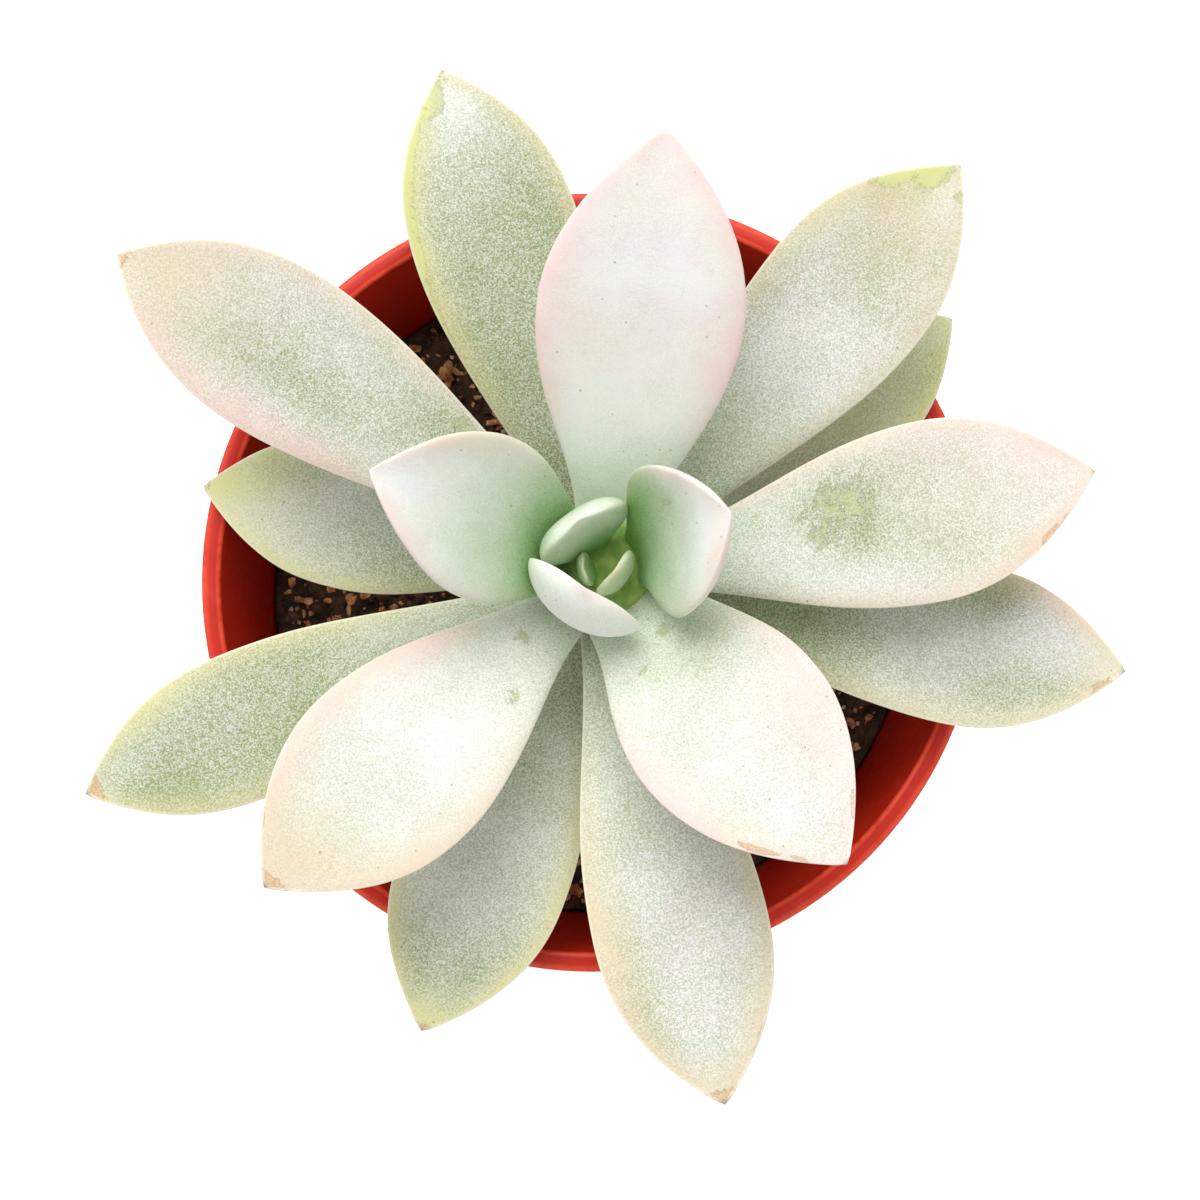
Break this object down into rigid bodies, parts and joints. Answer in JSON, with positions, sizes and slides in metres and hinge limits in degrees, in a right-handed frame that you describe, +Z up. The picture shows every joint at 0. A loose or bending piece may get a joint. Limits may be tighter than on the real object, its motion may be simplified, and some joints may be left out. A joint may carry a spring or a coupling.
{
  "type": "potted succulent",
  "caption": "Powdery, broad-leaved rosette succulent on a short stem, growing in dark potting mix in a round tapered plastic pot that stands free.",
  "frame": {"origin": "middle of the pot's standing face, on the pot's axis", "axes": "+Z up along the pot's axis; the plant is seen from above with +X to the right and +Y away"},
  "size_m": [0.1289, 0.1291, 0.1226],
  "materials": {
    "pot_plastic": "satin",
    "potting_mix": "rough",
    "stem_bark": "rough",
    "leaf_skin": "powdery matte",
    "bark_chip": "rough"
  },
  "bodies": {
    "root": {"pot": "pot_plastic", "soil": "potting_mix", "stem": "stem_bark", "leaf_01": "leaf_skin", "leaf_02": "leaf_skin", "leaf_03": "leaf_skin", "leaf_04": "leaf_skin", "leaf_05": "leaf_skin", "leaf_06": "leaf_skin", "leaf_07": "leaf_skin", "leaf_08": "leaf_skin", "leaf_09": "leaf_skin", "leaf_10": "leaf_skin", "leaf_11": "leaf_skin", "leaf_12": "leaf_skin", "leaf_13": "leaf_skin", "leaf_14": "leaf_skin", "leaf_15": "leaf_skin", "leaf_16": "leaf_skin", "leaf_17": "leaf_skin", "leaf_18": "leaf_skin", "leaf_19": "leaf_skin", "bark_chip_01": "bark_chip", "bark_chip_02": "bark_chip", "bark_chip_03": "bark_chip", "bark_chip_04": "bark_chip", "bark_chip_05": "bark_chip", "bark_chip_06": "bark_chip", "bark_chip_07": "bark_chip", "bark_chip_08": "bark_chip", "bark_chip_09": "bark_chip", "bark_chip_10": "bark_chip", "bark_chip_11": "bark_chip", "bark_chip_12": "bark_chip"}
  },
  "joints": []
}
